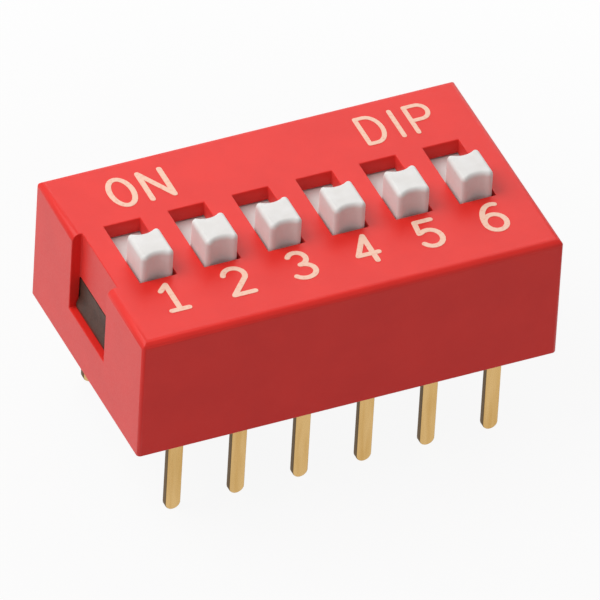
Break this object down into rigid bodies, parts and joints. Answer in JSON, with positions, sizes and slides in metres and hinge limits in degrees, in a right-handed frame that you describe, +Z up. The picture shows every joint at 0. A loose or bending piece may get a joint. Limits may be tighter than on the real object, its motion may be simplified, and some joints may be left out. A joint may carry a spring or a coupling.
{
  "type": "dip switch",
  "caption": "Low red box with a row of white slider knobs in slots, each of which slides to join a pair of contacts, over a snap-in base with two rows of flat gold board pins.",
  "frame": {"origin": "middle of the seating plane, under the centre of the cover", "axes": "+Z up out of the board, +X along the row away from position 1, +Y from OFF to ON"},
  "size_m": [0.0166, 0.0098, 0.0103],
  "materials": {
    "cover_plastic": "satin moulded",
    "base_plastic": "matt moulded",
    "slider_plastic": "satin moulded",
    "contact_metal": "gold plated",
    "pin_metal": "gold plated"
  },
  "bodies": {
    "housing": {"cover": "cover_plastic", "base": "base_plastic", "front_terminal_1": "pin_metal", "front_terminal_2": "pin_metal", "front_terminal_3": "pin_metal", "front_terminal_4": "pin_metal", "front_terminal_5": "pin_metal", "front_terminal_6": "pin_metal", "rear_terminal_1": "pin_metal", "rear_terminal_2": "pin_metal", "rear_terminal_3": "pin_metal", "rear_terminal_4": "pin_metal", "rear_terminal_5": "pin_metal", "rear_terminal_6": "pin_metal"},
    "actuator_1": {"slider_1": "slider_plastic", "leaf_contact_1": "contact_metal"},
    "actuator_2": {"slider_2": "slider_plastic", "leaf_contact_2": "contact_metal"},
    "actuator_3": {"slider_3": "slider_plastic", "leaf_contact_3": "contact_metal"},
    "actuator_4": {"slider_4": "slider_plastic", "leaf_contact_4": "contact_metal"},
    "actuator_5": {"slider_5": "slider_plastic", "leaf_contact_5": "contact_metal"},
    "actuator_6": {"slider_6": "slider_plastic", "leaf_contact_6": "contact_metal"}
  },
  "joints": [
    {"name": "slide_1", "type": "slide", "parent": "housing", "child": "actuator_1", "axis": [0, 1, 0], "range_m": [0, 0.0017]},
    {"name": "slide_2", "type": "slide", "parent": "housing", "child": "actuator_2", "axis": [0, 1, 0], "range_m": [0, 0.0017]},
    {"name": "slide_3", "type": "slide", "parent": "housing", "child": "actuator_3", "axis": [0, 1, 0], "range_m": [0, 0.0017]},
    {"name": "slide_4", "type": "slide", "parent": "housing", "child": "actuator_4", "axis": [0, 1, 0], "range_m": [0, 0.0017]},
    {"name": "slide_5", "type": "slide", "parent": "housing", "child": "actuator_5", "axis": [0, 1, 0], "range_m": [0, 0.0017]},
    {"name": "slide_6", "type": "slide", "parent": "housing", "child": "actuator_6", "axis": [0, 1, 0], "range_m": [0, 0.0017]}
  ]
}
